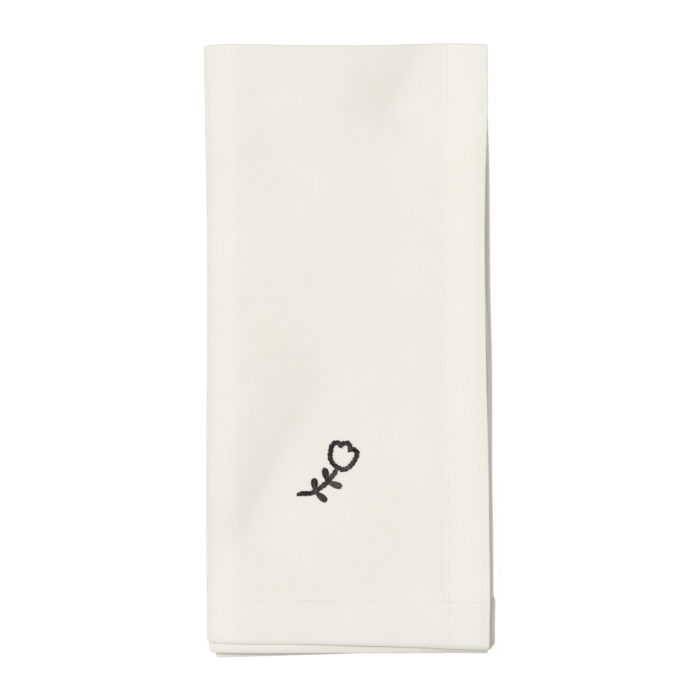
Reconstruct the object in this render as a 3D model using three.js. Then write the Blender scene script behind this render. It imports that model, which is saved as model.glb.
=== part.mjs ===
import * as THREE from "three";

// A square table napkin of plain cloth with a turned and stitched hem on all four
// edges. It is folded in half along its length and then in four across its width,
// so eight layers lie on each other. The far end is closed by four narrow folds,
// the left side by folds round folds, and the right side and the near end show
// hemmed edges that don't quite meet, with one rounded fold low on the right.
//
// Millimetres. +X is right, +Y is towards the closed end, +Z is up, and the origin
// is the middle of the underside, which lies flat.

// ---- Cloth -------------------------------------------------------------------
const CLOTH = 1.0; // thickness of the plain cloth
const HEM_CLOTH = 1.16; // thickness where the hem is turned under
const SIDE_HEM = 16.4; // width of the hem on the open side
const END_HEM = 16.8; // width of the hem on the open end
const END_HEM_SKEW = 2.6; // how much wider the top leaf's end hem is at its corner
const HEM_STEP = 1.2; // run over which the thickness changes

// ---- Stack -------------------------------------------------------------------
const PITCH = 1.3; // from one layer to the next, where the stack lies loose
const PRESSED_PITCH = 1.2; // the same, where the left fold presses it together
const PRESSED_RUN = 13; // over this width
const HEM_RISE = 0.11; // how much more the pitch is where hems lie on each other
const FOLD_HALF_WIDTH = 2.4; // of the outer left fold, in the middle of its two leaves
const FOLD_SQUARE = 2.1; // how square that fold is, 2 being an ellipse
const INNER_FOLD_SETBACK = 2.2; // the inner left fold lies this far behind the outer
const FOLD_HEM_BULGE = 0.75; // the right fold stands out by this where it is hemmed
const FOLD_HEM_FROM = -101; // and from here to the open end
const BACK_CORNER = 1.4; // how far a back leaf's end draws in round a left fold
const BACK_CORNER_RUN = 6.0; // over this width
const BACK_LEAF_SETBACK = 0.5; // how far a back leaf lies behind its face leaf's open edge

// The stack seen from above, at stations along its length: the outside of the left
// fold, the open edges of the top and upper panels, and the outside of the right fold.
const STATIONS = [
  { y: -124, leftFold: -59.0, topLeaf: 57.6, upperLeaf: 56.7, rightFold: 59.3 },
  { y: -112, leftFold: -59.1, topLeaf: 57.75, upperLeaf: 56.8, rightFold: 59.35 },
  { y: -100, leftFold: -59.15, topLeaf: 57.95, upperLeaf: 56.8, rightFold: 59.45 },
  { y: -75, leftFold: -59.25, topLeaf: 57.6, upperLeaf: 56.7, rightFold: 59.3 },
  { y: -50, leftFold: -59.25, topLeaf: 57.35, upperLeaf: 57.3, rightFold: 58.95 },
  { y: -25, leftFold: -59.2, topLeaf: 56.7, upperLeaf: 57.85, rightFold: 58.95 },
  { y: 0, leftFold: -59.0, topLeaf: 56.15, upperLeaf: 57.5, rightFold: 58.75 },
  { y: 25, leftFold: -58.95, topLeaf: 55.85, upperLeaf: 56.2, rightFold: 58.2 },
  { y: 50, leftFold: -59.05, topLeaf: 55.7, upperLeaf: 54.8, rightFold: 57.95 },
  { y: 75, leftFold: -59.5, topLeaf: 56.05, upperLeaf: 54.9, rightFold: 57.75 },
  { y: 100, leftFold: -59.9, topLeaf: 56.9, upperLeaf: 55.7, rightFold: 57.0 },
  { y: 125, leftFold: -60.4, topLeaf: 56.8, upperLeaf: 55.8, rightFold: 56.6 },
];

// The closed end of the top leaf and its hemmed end, at stations across the width.
const TOP_LEAF = [
  { x: -59, closedEnd: 125.5, openEnd: -120.9 },
  { x: -48, closedEnd: 126.2, openEnd: -121.3 },
  { x: -20, closedEnd: 125.6, openEnd: -121.4 },
  { x: 8, closedEnd: 125.6, openEnd: -122.1 },
  { x: 26, closedEnd: 126.2, openEnd: -122.6 },
  { x: 40, closedEnd: 126.5, openEnd: -123.3 },
  { x: 57, closedEnd: 126.0, openEnd: -123.8 },
];

// The four panels from the top one inwards along the cloth. Each is a face leaf and
// a back leaf, joined at the closed end. level is the middle of the pair, counted in
// pitches above the middle of the lowest layer. The ends are those of the leaves at
// the panel's left and right, and short is how far its closed end stays behind.
const PANELS = {
  top: { level: 6.5, short: 0, faceLeft: -120.9, faceRight: -124.6, backLeft: -125.0, backRight: -125.3 },
  bottom: { level: 0.5, short: 0.6, faceLeft: -120.4, faceRight: -122.9, backLeft: -124.6, backRight: -123.9 },
  lower: { level: 2.5, short: 1.1, faceLeft: -121.6, faceRight: -122.9, backLeft: -127.2, backRight: -123.9 },
  upper: { level: 4.5, short: 0.8, faceLeft: -121.6, faceRight: -123.7, backLeft: -124.5, backRight: -124.4 },
};

// Soft creases pressed into the top of the stack, each along a line. left and right
// are how wide it is on either side.
const TROUGHS = [
  { fromX: -12, fromY: -17, toX: -29, toY: -44, left: 15, right: 36, depth: 0.8 },
  { fromX: -29, fromY: -44, toX: -45, toY: -78, left: 15, right: 32, depth: 1.0 },
  { fromX: 33, fromY: 126, toX: 18, toY: 100, left: 13, right: 16, depth: 0.8 },
  { fromX: -40, fromY: 103, toX: -27, toY: 62, left: 6, right: 8, depth: 0.2 },
];
const CREASE = 0.9; // how soft the bottom of a crease is, as a share of its width

// ---- Facets ------------------------------------------------------------------
const COUNT = { field: 9, past: 2, outerBend: 8, rightBend: 6, innerBend: 6, length: 13, endFold: 4 };
const FIELD_SHARE = 0.85; // how much of the two low panels lies under the field of the upper ones

// ---- Helpers -----------------------------------------------------------------
const { clamp, lerp, smoothstep } = THREE.MathUtils;

// A smooth curve through one column of a table, straight past its ends.
function column(table, at, name) {
  const slope = (i, j) => (table[j][name] - table[i][name]) / (table[j][at] - table[i][at]);
  const last = table.length - 1;
  return (value) => {
    let i = 0;
    while (i < last - 1 && value > table[i + 1][at]) i++;
    const span = table[i + 1][at] - table[i][at];
    const t = clamp((value - table[i][at]) / span, 0, 1);
    const before = slope(Math.max(i - 1, 0), i + 1);
    const after = slope(i, Math.min(i + 2, last));
    const past = value - clamp(value, table[0][at], table[last][at]);
    const [t2, t3] = [t * t, t * t * t];
    return (
      (2 * t3 - 3 * t2 + 1) * table[i][name] +
      (3 * t2 - 2 * t3) * table[i + 1][name] +
      ((t3 - 2 * t2 + t) * before + (t3 - t2) * after) * span +
      past * (value < 0 ? before : after)
    );
  };
}

const leftFold = column(STATIONS, "y", "leftFold");
const topLeafEdge = column(STATIONS, "y", "topLeaf");
const upperLeafEdge = column(STATIONS, "y", "upperLeaf");
const rightFoldLine = column(STATIONS, "y", "rightFold");
const closedEnd = column(TOP_LEAF, "x", "closedEnd");
const openEnd = column(TOP_LEAF, "x", "openEnd");

const rightFold = (y) =>
  rightFoldLine(y) + FOLD_HEM_BULGE * (1 - smoothstep(y, FOLD_HEM_FROM - 2.5, FOLD_HEM_FROM));

// From one layer to the next at (x, y).
function pitch(x, y) {
  const loose = smoothstep(x - leftFold(y), 1.5, 1.5 + PRESSED_RUN);
  const side = smoothstep(SIDE_HEM + 7 - (topLeafEdge(y) - x), 0, 7);
  const end = smoothstep(END_HEM + 7 - (y - openEnd(x)), 0, 7);
  return lerp(PRESSED_PITCH, PITCH, loose) + HEM_RISE * Math.max(side, end);
}

// ---- The path across the width -----------------------------------------------
// c runs along the cloth from the top leaf's open edge: 0 to 1 is the side hem, then
// top panel, outer left bend, bottom panel, right bend, lower panel, inner left bend,
// upper panel, and 8 to 9 its side hem. back is 0 on the face leaf and 1 on the back
// leaf. It gives the place x and the level of the middle of the pair, the way (nx, nz)
// to the face leaf, the pitch in a bend, and how the ends of the leaves go on.
function across(c, y, back) {
  const leftPitch = pitch(leftFold(y), y);
  const rightPitch = pitch(rightFold(y), y);
  const outerX = leftFold(y) + CLOTH / 2 + leftPitch / 2 + FOLD_HALF_WIDTH;
  const innerX = outerX + INNER_FOLD_SETBACK;
  const rightX = rightFold(y) - CLOTH / 2 - 1.5 * rightPitch;
  const edge = topLeafEdge(y) - BACK_LEAF_SETBACK * back;
  const upperEdge = upperLeafEdge(y) - BACK_LEAF_SETBACK * back;
  const { top, bottom, lower, upper } = PANELS;

  const run = (panel, x, nz) => {
    const t = clamp((x - leftFold(y)) / (rightFold(y) - leftFold(y)), 0, 1);
    const fold = panel === top || panel === bottom ? leftFold(y) : innerX;
    const drawn = (1 - smoothstep(x - fold, 0.5, BACK_CORNER_RUN)) ** 2;
    return {
      x,
      level: panel.level,
      nx: 0,
      nz,
      pitch: 1,
      short: panel.short,
      face: panel === top ? openEnd(x) : lerp(panel.faceLeft, panel.faceRight, t),
      rear: lerp(panel.backLeft, panel.backRight, t) + BACK_CORNER * drawn,
    };
  };
  // A half turn, from one panel to the next. side is -1 on the left, way is 1 if the
  // face leaf is on the outside, and square is 2 where it is round.
  const bend = (t, x, from, to, side, way, local, halfWidth, square) => {
    const levels = Math.abs(from.level - to.level) / 2;
    const a = Math.PI * t;
    const out = Math.sin(a) ** (2 / square);
    const up = Math.sign(Math.cos(a)) * Math.abs(Math.cos(a)) ** (2 / square);
    const px = out ** (square - 1) / halfWidth;
    const pz = (Math.sign(up) * Math.abs(up) ** (square - 1)) / (levels * local);
    const size = Math.hypot(px, pz);
    const sense = Math.sign(from.level - to.level);
    const [start, end] = [run(from, x, 1), run(to, x, 1)];
    return {
      x: x + side * halfWidth * out,
      level: (from.level + to.level) / 2 + levels * sense * up,
      nx: (way * side * px) / size,
      nz: (way * sense * pz) / size,
      pitch: local,
      short: lerp(start.short, end.short, t),
      face: lerp(start.face, end.face, t),
      rear: lerp(start.rear, end.rear, t),
    };
  };

  if (c <= 1) return run(top, edge - c * SIDE_HEM, 1);
  if (c <= 2) return run(top, lerp(edge - SIDE_HEM, outerX, c - 1), 1);
  if (c <= 3) return bend(c - 2, outerX, top, bottom, -1, 1, leftPitch, FOLD_HALF_WIDTH, FOLD_SQUARE);
  if (c <= 4) return run(bottom, lerp(outerX, rightX, c - 3), -1);
  if (c <= 5) return bend(c - 4, rightX, bottom, lower, 1, 1, rightPitch, rightPitch, 2);
  if (c <= 6) return run(lower, lerp(rightX, innerX, c - 5), 1);
  if (c <= 7) return bend(c - 6, innerX, lower, upper, -1, -1, leftPitch, leftPitch, 2);
  if (c <= 8) return run(upper, lerp(innerX, upperEdge - SIDE_HEM, c - 7), -1);
  return run(upper, upperEdge + (c - 9) * SIDE_HEM, -1);
}

// How deep the creases are at (x, y), in the top of the stack.
function creaseDepth(x, y) {
  let depth = 0;
  for (const t of TROUGHS) {
    const [dx, dy] = [t.toX - t.fromX, t.toY - t.fromY];
    const length = Math.hypot(dx, dy);
    const k = ((x - t.fromX) * dx + (y - t.fromY) * dy) / length ** 2;
    const [gx, gy] = [x - t.fromX - k * dx, y - t.fromY - k * dy];
    const onRight = (dx * gy - dy * gx) * (dy < 0 ? 1 : -1) > 0;
    const away = Math.hypot(gx, gy) / (onRight ? t.right : t.left);
    const past = (Math.max(-k, k - 1, 0) * length) / (0.7 * Math.min(t.left, t.right));
    const shape = Math.exp(CREASE - Math.hypot(Math.hypot(away, past) * 1.25, CREASE));
    depth = Math.max(depth, t.depth * shape * Math.exp(-0.15 * (away ** 2 + past ** 2)));
  }
  return depth;
}

// ---- The cloth ---------------------------------------------------------------
// r runs along the cloth's length: 0 to 1 is the face leaf's end hem, 1 to 2 its
// field, 2 to 3 the fold at the closed end, 3 to 4 the back leaf's field and 4 to 5
// its end hem.
function middle(c, r) {
  const back = smoothstep(r, 2, 3);
  // The lengths are read at the panel's own x, which the length hardly changes.
  const { x: x0, short, face, rear } = across(c, 0, back);
  const halfPair = pitch(x0, closedEnd(x0)) / 2;
  const fold = closedEnd(x0) - short - halfPair - CLOTH / 2;
  const skew = c <= 2 ? END_HEM_SKEW * clamp((x0 + 53) / 110, 0, 1) : 0;
  let y;
  let lift = 0.5;
  if (r <= 1) y = face + r * (END_HEM + skew);
  else if (r <= 2) y = lerp(face + END_HEM + skew, fold, r - 1);
  else if (r <= 3) {
    y = fold + halfPair * Math.sin(Math.PI * (r - 2));
    lift = 0.5 * Math.cos(Math.PI * (r - 2));
  } else {
    lift = -0.5;
    y = r <= 4 ? lerp(fold, rear + END_HEM, r - 3) : rear + (5 - r) * END_HEM;
  }
  const p = across(c, y, back);
  const x = p.x + lift * p.pitch * p.nx;
  const level = p.level + lift * p.nz;
  const z = level * pitch(x, y) - creaseDepth(x, y) * clamp(level / 7, 0, 1);
  return new THREE.Vector3(x, y, z + thickness(c, r) / 2);
}

function thickness(c, r) {
  const side = Math.max(1 - Math.max(0, c - 1) * (90 / HEM_STEP), 1 - Math.max(0, 8 - c) * (90 / HEM_STEP));
  const end = Math.max(1 - Math.max(0, r - 1) * (229 / HEM_STEP), 1 - Math.max(0, 4 - r) * (229 / HEM_STEP));
  return lerp(CLOTH, HEM_CLOTH, clamp(Math.max(side, end), 0, 1));
}

// The outer and inner surface points over (c, r).
function surfaces(c, r) {
  const e = 1e-4;
  const m = middle(c, r);
  const along = middle(c, r + e).sub(middle(c, r - e));
  const over = middle(c + e, r).sub(middle(c - e, r));
  const n = along.cross(over).normalize();
  const half = thickness(c, r) / 2;
  return [m.clone().addScaledVector(n, half), m.clone().addScaledVector(n, -half)];
}

// Steps from a to b, without a.
const steps = (a, b, n) => Array.from({ length: n }, (_, i) => lerp(a, b, (i + 1) / n));

const sideStep = HEM_STEP / 90;
const endStep = HEM_STEP / 229;
const C = [
  0, 0.5, 1, 1 + sideStep,
  ...steps(1 + sideStep, 2, COUNT.field),
  ...steps(2, 3, COUNT.outerBend),
  ...steps(3, 3 + FIELD_SHARE, COUNT.field),
  ...steps(3 + FIELD_SHARE, 4, COUNT.past),
  ...steps(4, 5, COUNT.rightBend),
  ...steps(5, 6 - FIELD_SHARE, COUNT.past),
  ...steps(6 - FIELD_SHARE, 6, COUNT.field),
  ...steps(6, 7, COUNT.innerBend),
  ...steps(7, 8 - sideStep, COUNT.field),
  8, 8.5, 9,
];
const R = [
  0, 0.5, 1, 1 + endStep,
  ...steps(1 + endStep, 2, COUNT.length),
  ...steps(2, 3, COUNT.endFold),
  ...steps(3, 4 - endStep, COUNT.length),
  4, 5,
];

function napkinGeometry() {
  const positions = [];
  for (const side of [0, 1])
    for (const c of C) for (const r of R) positions.push(...surfaces(c, r)[side].toArray());
  const at = (side, i, j) => (side * C.length + i) * R.length + j;
  const index = [];
  for (let i = 0; i + 1 < C.length; i++)
    for (let j = 0; j + 1 < R.length; j++) {
      const [a, b, d, e] = [at(0, i, j), at(0, i, j + 1), at(0, i + 1, j), at(0, i + 1, j + 1)];
      index.push(a, b, d, d, b, e);
      const [f, g, h, k] = [at(1, i, j), at(1, i, j + 1), at(1, i + 1, j), at(1, i + 1, j + 1)];
      index.push(f, h, g, h, k, g);
    }
  const rim = (i0, j0, i1, j1) => {
    const [a, b, f, g] = [at(0, i0, j0), at(0, i1, j1), at(1, i0, j0), at(1, i1, j1)];
    index.push(b, a, f, b, f, g);
  };
  const [ci, rj] = [C.length - 1, R.length - 1];
  for (let j = 0; j < rj; j++) {
    rim(0, j, 0, j + 1);
    rim(ci, j + 1, ci, j);
  }
  for (let i = 0; i < ci; i++) {
    rim(i + 1, 0, i, 0);
    rim(i, rj, i + 1, rj);
  }
  const geometry = new THREE.BufferGeometry();
  geometry.setAttribute("position", new THREE.Float32BufferAttribute(positions, 3));
  geometry.setIndex(index);
  geometry.computeBoundingBox();
  const { min, max } = geometry.boundingBox;
  geometry.translate(-(min.x + max.x) / 2, -(min.y + max.y) / 2, -min.z);
  geometry.computeVertexNormals();
  return geometry;
}

const cloth = new THREE.MeshStandardMaterial({ color: 0xeeebe3, roughness: 0.9, metalness: 0 });
const napkin = new THREE.Mesh(napkinGeometry(), cloth);
napkin.name = "napkin";

const group = new THREE.Group();
group.add(napkin);

export default group;
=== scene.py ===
import math

import bpy
import numpy as np
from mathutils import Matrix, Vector


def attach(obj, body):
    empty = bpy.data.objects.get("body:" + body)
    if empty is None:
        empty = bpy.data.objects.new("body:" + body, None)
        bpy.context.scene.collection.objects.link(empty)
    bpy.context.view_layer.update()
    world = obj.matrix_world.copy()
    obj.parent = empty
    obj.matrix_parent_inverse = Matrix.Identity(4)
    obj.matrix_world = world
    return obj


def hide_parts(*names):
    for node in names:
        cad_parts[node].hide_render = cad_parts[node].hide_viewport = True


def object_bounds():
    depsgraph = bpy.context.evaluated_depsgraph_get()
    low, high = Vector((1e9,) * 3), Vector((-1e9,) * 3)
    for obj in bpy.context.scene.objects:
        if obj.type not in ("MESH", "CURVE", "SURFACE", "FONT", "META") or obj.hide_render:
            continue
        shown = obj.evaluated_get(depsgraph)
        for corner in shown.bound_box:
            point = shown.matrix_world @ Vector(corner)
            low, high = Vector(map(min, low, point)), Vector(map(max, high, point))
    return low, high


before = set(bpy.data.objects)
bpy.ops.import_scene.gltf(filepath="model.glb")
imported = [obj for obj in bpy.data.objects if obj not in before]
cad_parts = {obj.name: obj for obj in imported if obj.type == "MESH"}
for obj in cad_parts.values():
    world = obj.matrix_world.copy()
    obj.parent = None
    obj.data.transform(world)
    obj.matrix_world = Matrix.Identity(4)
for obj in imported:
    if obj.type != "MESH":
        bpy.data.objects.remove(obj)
FRAME_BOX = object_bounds()

# =============================================================================
# The folded cloth. Sizes in this part are in millimetres:
# +X towards the open side, +Y towards the closed end, +Z up from the table.
# =============================================================================
CLOTH = 0.42  # thickness of the plain cloth
HEM_FACE = 0.24  # how far the face of a hem stands from the middle of the cloth
HEM_BACK = 0.37  # and its back, where the turning lies
SIDE_HEM = 16.4  # from the open side to its row of stitches
END_HEM = 16.8  # from the open end to its row of stitches
END_HEM_SKEW = 2.6  # how much wider that is at the top leaf's corner
TURNING = 1.2  # how far the turning reaches past the stitches
EDGE = 0.38  # the roundness of a turned edge

PITCH = 1.0  # from one layer to the next over the plain cloth
PRESSED_PITCH = 0.77  # at the left fold, where the stack is pressed
PRESSED_RUN = 13.0  # over this width
PRESSED_END = 0.05  # share by which the closed end is pressed
SIDE_RISE = (0.17, 0.18)  # how much more it is before the side hem, and on it
END_RISE = (0.04, 0.14)  # and the same for the end hem
HEM_PRESSED = (0.85, 6.0, 46.0)  # share by which the side hem's rise is pressed down at the closed end, and over which run
CORNER_PRESSED = 0.6  # and the share of it where the two hems cross
PAIR = 0.86  # how near the two leaves of a pair lie at their closed end
HEM_PAIR = 1.06  # and on the hems
PAIR_RUN = 9.0
SAG = 1.3  # how far the lower leaves drop away from the top pair at the open side
SAG_RUN = 30.0
SAGS = ((0, 0.0), (3, 0.90), (4, 0.97), (5, 0.80), (6, 0.12), (7, 0.0))  # level, share of that drop
SAG_ON_HEM = 0.25  # share of it that is left on the end hem
SAG_CLOSED = (0.5, 2.0, 24.0)  # share of it that is left at the closed end, and over which run
END_SAG_RUN = 9.0
# how far the leaves under the top leaf drop away from it at the open end, and from where to where that grows
END_SAGS = ((1.5, -34.0, 8.0), (0.7, 12.0, 50.0))
CURL = (1.1, 2.6)  # how far the top leaf's end turns down towards the open corner, over this length
BACK_CURL = (3.3, 2.3)  # and the end of its back leaf
CURL_RUN = (8.0, 56.0)
ROLL = 0.28  # how far the top leaf's edge turns down
RIM = (0.26, 1.5)  # how far the very rim of an end hem does, and over which width
RIM_SHADE_SHARE = 0.65  # how much of the painted fold shade that rim gets
FOLD_WIDE = (1.3, 1.0, 0.9)  # half width of the outer left, inner left and right folds
FOLD_SQUARE = (3.2, 2.1, 2.1)  # how square each of them is, 2 being round
INNER_FOLD_SETBACK = 2.5
FOLD_HEM_BULGE = 0.75
FOLD_HEM_FROM = -101.0
FACE_CORNER = (0.7, 1.0)  # how far a face leaf's end draws in round a left fold, and over which width
BACK_CORNER = (1.5, 2.8)  # and a back leaf's end
INNER_CORNER = (0.2, 0.6)  # and the same at the inner left fold

STATIONS = {
    "y": (-124, -112, -100, -75, -50, -25, 0, 25, 50, 75, 100, 125),
    "left_fold": (-58.75, -58.95, -59.1, -59.25, -59.25, -59.2, -59.0, -58.95, -59.05, -59.5, -59.9, -60.4),
    "top_leaf": (57.6, 57.75, 57.95, 57.6, 57.35, 56.7, 56.15, 55.85, 55.7, 56.05, 56.9, 56.8),
    "upper_leaf": (56.7, 56.8, 56.8, 56.7, 57.3, 57.85, 57.5, 56.2, 54.8, 54.9, 55.7, 55.8),
    "right_fold": (59.3, 59.35, 59.45, 59.3, 58.95, 58.95, 58.75, 58.2, 57.95, 57.75, 57.0, 56.6),
}
TOP_LEAF = {
    "x": (-59, -48, -20, 8, 26, 40, 57),
    "closed_end": (125.5, 126.2, 125.6, 125.6, 126.2, 126.5, 126.0),
    "open_end": (-120.9, -121.3, -121.4, -122.1, -122.6, -123.3, -123.8),
}
# the middle level of each pair of leaves, how much short of the closed end it is, and where its face leaf and its
# back leaf end, on the left and on the right
PANELS = {
    "top": dict(level=6.5, short=0.0, face=(-120.9, -124.6), back=(-125.0, -125.3)),
    "bottom": dict(level=0.5, short=0.6, face=(-120.4, -122.9), back=(-124.6, -123.9)),
    "lower": dict(level=2.5, short=1.1, face=(-121.6, -122.9), back=(-127.2, -123.9)),
    "upper": dict(level=4.5, short=0.8, face=(-121.6, -122.9), back=(-124.5, -123.3)),
}
CORNER = (0.5, 1.2)  # how far the open corner of a face leaf is rounded off, and over which width
FOLD_CORNER = (1.7, 2.1)  # and the right fold's corner
BACK_LEAF_SETBACK = 0.5  # how far a pair's back leaf lies behind its face leaf's edge at the open side

# Soft creases pressed into the top of the stack, each along a line. left and right are how wide it is on either side.
TROUGHS = (
    dict(start=(-10.5, -17), end=(-27, -44), left=15.0, right=36.0, depth=2.3),
    dict(start=(-27, -44), end=(-43, -78), left=12.5, right=33.0, depth=2.9),
    dict(start=(33, 126), end=(18, 100), left=13.0, right=25.0, depth=2.7),
    dict(start=(-37.5, 103), end=(-23.5, 62), left=9.0, right=22.0, depth=0.72),
)
CREASE = 0.45  # how sharp the bottom of a crease is, as a share of its width
# Wide, shallow swellings (positive) and hollows (negative) in the top leaf.
SWELLS = (
    dict(at=(-12, 40), reach=(28, 70), height=-0.45),
    dict(at=(30, -98), reach=(32, 9), height=-0.55),
    dict(at=(21, -67), reach=(16, 13), height=0.42),
    dict(at=(-49, -104), reach=(9, 16), height=0.12),
)


def smooth(t, low=0.0, high=1.0):
    t = np.clip((t - low) / (high - low), 0, 1)
    return t * t * (3 - 2 * t)


def ramp(t):
    """From 0 to 1, nearly straight, a little softened at both ends."""
    t = np.clip(t, 0, 1)
    return t - 0.35 * np.sin(2 * math.pi * t) / (2 * math.pi)


def mix(a, b, t):
    return a + (b - a) * t


def column(table, at, name):
    """A smooth curve through one column of a table, straight past its ends."""
    xs, ys = np.array(table[at], float), np.array(table[name], float)
    slopes = np.empty_like(ys)
    slopes[1:-1] = (ys[2:] - ys[:-2]) / (xs[2:] - xs[:-2])
    slopes[0] = (ys[1] - ys[0]) / (xs[1] - xs[0])
    slopes[-1] = (ys[-1] - ys[-2]) / (xs[-1] - xs[-2])

    def curve(value):
        value = np.asarray(value, float)
        inside = np.clip(value, xs[0], xs[-1])
        i = np.clip(np.searchsorted(xs, inside, side="right") - 1, 0, len(xs) - 2)
        span = xs[i + 1] - xs[i]
        t = (inside - xs[i]) / span
        past = value - inside
        return (
            (2 * t**3 - 3 * t**2 + 1) * ys[i]
            + (3 * t**2 - 2 * t**3) * ys[i + 1]
            + ((t**3 - 2 * t**2 + t) * slopes[i] + (t**3 - t**2) * slopes[i + 1]) * span
            + past * np.where(value < xs[0], slopes[0], slopes[-1])
        )

    return curve


left_fold = column(STATIONS, "y", "left_fold")
top_leaf_edge = column(STATIONS, "y", "top_leaf")
upper_leaf_edge = column(STATIONS, "y", "upper_leaf")
right_fold_line = column(STATIONS, "y", "right_fold")
closed_end = column(TOP_LEAF, "x", "closed_end")
open_end = column(TOP_LEAF, "x", "open_end")


def right_fold(y):
    return right_fold_line(y) + FOLD_HEM_BULGE * (1 - smooth(y, FOLD_HEM_FROM - 2.5, FOLD_HEM_FROM))


def noise(x, y, cell, seed):
    """Soft unevenness between about -1 and 1 with bumps of the size of cell, the same on every run."""
    lattice = np.random.default_rng(seed).uniform(-1, 1, (97, 97))
    gx, gy = np.asarray(x, float) / cell + 48.37, np.asarray(y, float) / cell + 48.61
    i, j = np.floor(gx).astype(int), np.floor(gy).astype(int)
    fx, fy = gx - i, gy - j

    def weights(t):
        return ((1 - t) ** 3 / 6, (3 * t**3 - 6 * t**2 + 4) / 6, (-3 * t**3 + 3 * t**2 + 3 * t + 1) / 6, t**3 / 6)

    total = 0.0
    for a, wa in enumerate(weights(fx)):
        for b, wb in enumerate(weights(fy)):
            total = total + wa * wb * lattice[(i + a - 1) % 97, (j + b - 1) % 97]
    return total * 1.9


def pitch(x, y):
    """From one layer to the next at (x, y)."""
    p = mix(PRESSED_PITCH, PITCH, smooth(x - left_fold(y), 1.5, 1.5 + PRESSED_RUN))
    p = p * (1 - PRESSED_END * (1 - smooth(closed_end(x) - y, 1, 1 + PRESSED_RUN)))
    side, end = top_leaf_edge(y) - x, y - open_end(x)
    on_side = SIDE_RISE[0] * ramp((38 - side) / 20) + SIDE_RISE[1] * ramp((SIDE_HEM + 0.9 - side) / 14)
    on_end = END_RISE[0] * ramp((27 - end) / 12) + END_RISE[1] * ramp((END_HEM + 0.9 - end) / 13.5)
    share, start, stop = HEM_PRESSED
    on_side = on_side * (1 - share * (1 - smooth(closed_end(x) - y, start, stop)))
    return p + on_side + on_end - CORNER_PRESSED * np.minimum(on_side, on_end)


def sag(level, x, y):
    """How far a level drops below its plain height near the open side."""
    levels, shares = zip(*SAGS)
    end = sum(drop * smooth(x, start, stop) for drop, start, stop in END_SAGS)
    end = end * (1 - smooth(y - open_end(x), 1, 1 + END_SAG_RUN)) * np.interp(level, (0, 5, 6, 7), (0.0, 0.92, 1.0, 0.0))
    curl = CURL[0] * (1 - smooth(y - open_end(x), -0.4, CURL[1])) * smooth(x, *CURL_RUN)
    end = end + curl * np.interp(level, (6, 7), (0.0, 1.0))
    return SAG * np.interp(level, levels, shares) * sag_reach(x, y) + end


def sag_reach(x, y):
    on_hem = 1 - smooth(y - open_end(x), END_HEM - 6, END_HEM + 10)
    left, start, stop = SAG_CLOSED
    closed = mix(left, 1.0, smooth(closed_end(x) - y, start, stop))
    return (1 - smooth(top_leaf_edge(y) - x, 4, 4 + SAG_RUN)) * mix(1.0, SAG_ON_HEM, on_hem) * closed


def rounding(inside, draw, run):
    """How far an edge draws in towards a corner that it reaches where inside is 0."""
    return draw * (1 - np.sqrt(1 - (1 - np.clip(inside / run, 0, 1)) ** 2))


def rounded(n, ratio):
    """Half of a squared circle, evenly spaced along its length, from its top over its side to its foot."""
    a = np.linspace(0, math.pi, 40001)
    x, z = np.sin(a) ** (2 / n), np.sign(np.cos(a)) * np.abs(np.cos(a)) ** (2 / n)
    s = np.concatenate([[0], np.cumsum(np.hypot(np.diff(x) * ratio, np.diff(z)))])
    return lambda t: (np.interp(t * s[-1], s, x), np.interp(t * s[-1], s, z))


OUTER_LEFT, INNER_LEFT, RIGHT = 0, 1, 2
FOLDS = tuple(rounded(n, w / h) for n, w, h in zip(FOLD_SQUARE, FOLD_WIDE, (3 * PRESSED_PITCH, PRESSED_PITCH, 0.8)))


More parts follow.
